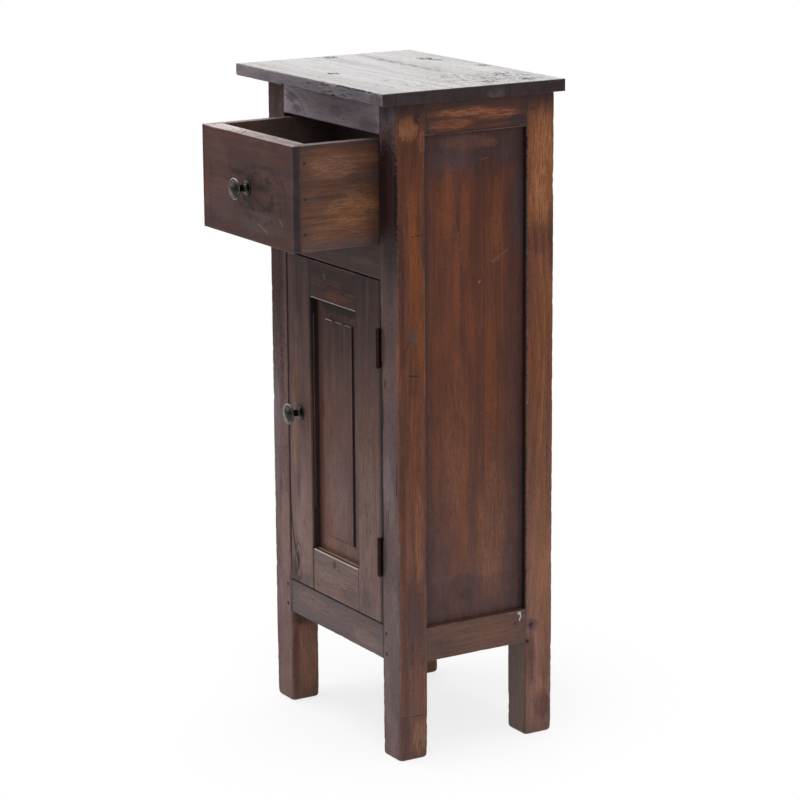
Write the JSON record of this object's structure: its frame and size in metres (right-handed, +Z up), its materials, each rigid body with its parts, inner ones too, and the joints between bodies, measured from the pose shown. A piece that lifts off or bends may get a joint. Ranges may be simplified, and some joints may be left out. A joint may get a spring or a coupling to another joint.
{
  "type": "storage side table with door",
  "caption": "Tall narrow wooden side table with a square-legged frame, a drawer over a raised-panel cupboard door, and metal knobs.",
  "frame": {"origin": "floor level under the middle of the outline, as the table stands with its drawer out at rest", "axes": "+X to the right seen from the front, +Y from the front towards the back, +Z up"},
  "size_m": [0.388, 0.3908, 0.9],
  "materials": {
    "case_wood": "satin varnish, dark walnut stain",
    "panel_wood": "satin varnish, dark walnut stain",
    "door_wood": "satin varnish, dark walnut stain",
    "peg_wood": "satin varnish over end grain",
    "top_wood": "satin varnish, dark walnut stain",
    "drawer_front_wood": "satin varnish, dark walnut stain",
    "drawer_wood": "thin satin varnish, worn along the lower edge",
    "inside_wood": "plain stained wood",
    "knob_metal": "antique dark finish, rubbed bright on the rims",
    "hinge_metal": "dark antique finish",
    "screw_steel": "plain steel",
    "nail_steel": "dull steel",
    "catch_plastic": "brown moulded plastic",
    "strike_steel": "plain steel"
  },
  "bodies": {
    "case": {"post_front_left": "case_wood", "post_front_right": "case_wood", "post_back_left": "case_wood", "post_back_right": "case_wood", "front_top_rail": "case_wood", "front_divider_rail": "case_wood", "front_bottom_rail": "case_wood", "back_top_rail": "case_wood", "back_bottom_rail": "case_wood", "right_top_rail": "case_wood", "right_bottom_rail": "case_wood", "left_top_rail": "case_wood", "left_bottom_rail": "case_wood", "right_side_panel": "panel_wood", "left_side_panel": "panel_wood", "back_panel": "panel_wood", "front_pegs": "peg_wood", "back_pegs": "peg_wood", "side_pegs": "peg_wood", "top_front_strip": "top_wood", "top_board_1": "top_wood", "top_board_2": "top_wood", "top_board_3": "top_wood", "cupboard_floor": "inside_wood", "cupboard_shelf": "inside_wood", "floor_cleats": "inside_wood", "shelf_cleats": "inside_wood", "drawer_runner_right": "inside_wood", "drawer_runner_left": "inside_wood", "drawer_guides": "inside_wood", "drawer_kickers": "inside_wood", "drawer_stops": "inside_wood", "top_cleats": "inside_wood", "top_screws": "screw_steel", "hinge_screws_post": "screw_steel", "upper_hinge_post_leaf": "hinge_metal", "lower_hinge_post_leaf": "hinge_metal", "upper_hinge_pin": "hinge_metal", "lower_hinge_pin": "hinge_metal", "door_catch": "catch_plastic"},
    "drawer": {"drawer_front": "drawer_front_wood", "drawer_side_left": "drawer_wood", "drawer_side_right": "drawer_wood", "drawer_back": "drawer_wood", "drawer_bottom": "drawer_wood", "drawer_nails": "nail_steel", "drawer_knob": "knob_metal", "drawer_knob_screw": "screw_steel"},
    "door": {"door_stile_left": "door_wood", "door_stile_right": "door_wood", "door_top_rail": "door_wood", "door_bottom_rail": "door_wood", "door_panel": "door_wood", "door_knob": "knob_metal", "door_knob_screw": "screw_steel", "hinge_screws_door": "screw_steel", "upper_hinge_door_leaf": "hinge_metal", "lower_hinge_door_leaf": "hinge_metal", "door_strike_plate": "strike_steel"}
  },
  "joints": [
    {"name": "drawer_slide", "type": "slide", "parent": "case", "child": "drawer", "axis": [0, -1, 0], "range_m": [-0.126, 0.024]},
    {"name": "door_swing", "type": "hinge", "parent": "case", "child": "door", "pos_m": [0.12425, -0.05005, 0.4], "axis": [0, 0, 1], "range_deg": [0, 175]}
  ]
}
